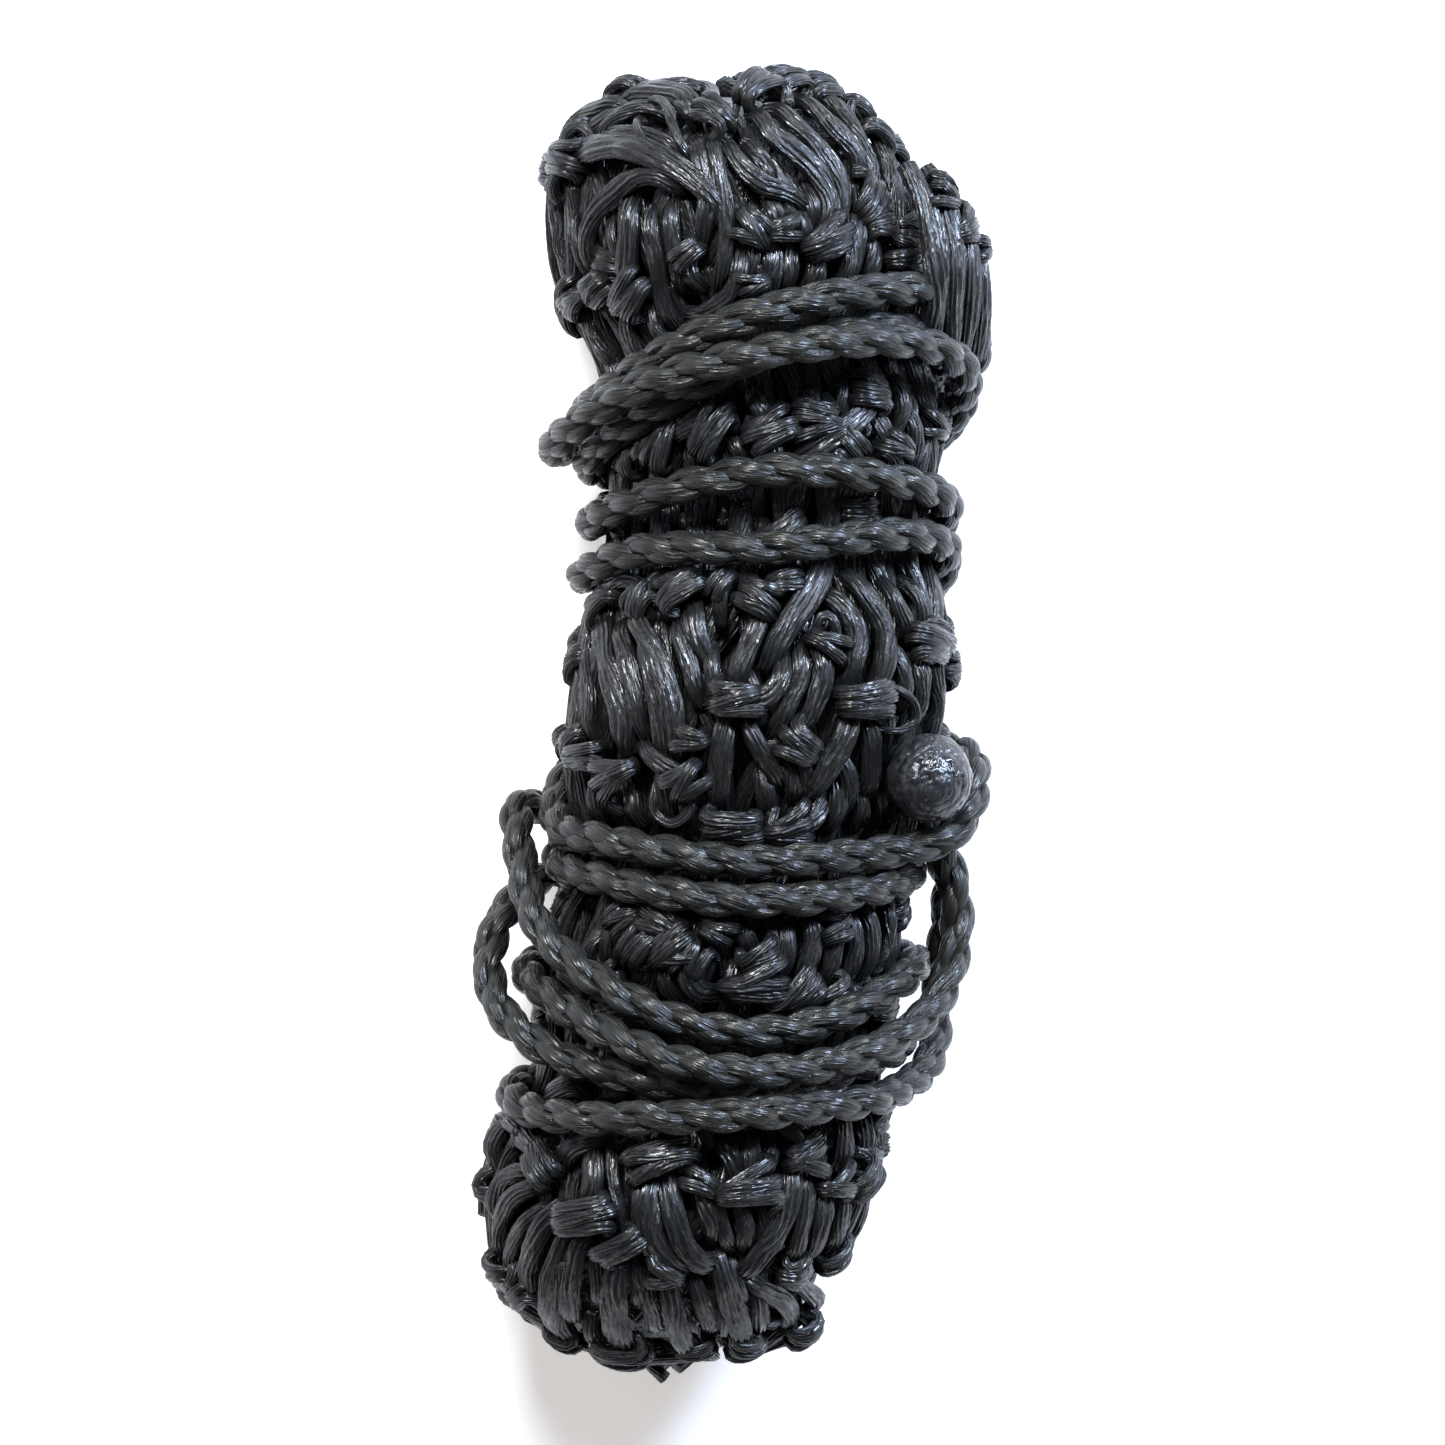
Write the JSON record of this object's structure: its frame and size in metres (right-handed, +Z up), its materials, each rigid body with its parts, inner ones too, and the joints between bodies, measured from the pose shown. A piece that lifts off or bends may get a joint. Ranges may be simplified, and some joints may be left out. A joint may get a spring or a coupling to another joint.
{
  "type": "hay net",
  "caption": "Knotted black hay net, folded into a long roll and tied round with its own doubled braided drawcord, whose ends are melted into a ball.",
  "frame": {"origin": "under the middle of the lying roll, on the surface that it rests on", "axes": "+Y along the roll from its foot to its head, +X to the right, +Z up, out of the side with the knob"},
  "size_m": [0.0944, 0.2366, 0.0687],
  "materials": {
    "netting": "glossy flat multifilament twine",
    "drawcord": "satin round braid",
    "melted_cord": "satin, faintly swirled"
  },
  "bodies": {
    "net_roll": {"net_head_fold": "netting", "net_side_fold": "netting", "net_upper_lap": "netting", "net_middle_lap": "netting", "net_lower_lap": "netting", "net_foot_fold": "netting", "drawcord_leg_a": "drawcord", "drawcord_leg_b": "drawcord", "knob_neck": "melted_cord"},
    "stop_knob": {"stop_knob": "melted_cord"}
  },
  "joints": [
    {"name": "knob_twist", "type": "hinge", "parent": "net_roll", "child": "stop_knob", "pos_m": [0.0347, -0.0098, 0.0495], "axis": [0, 0, 1], "range_deg": [-90, 90]}
  ]
}
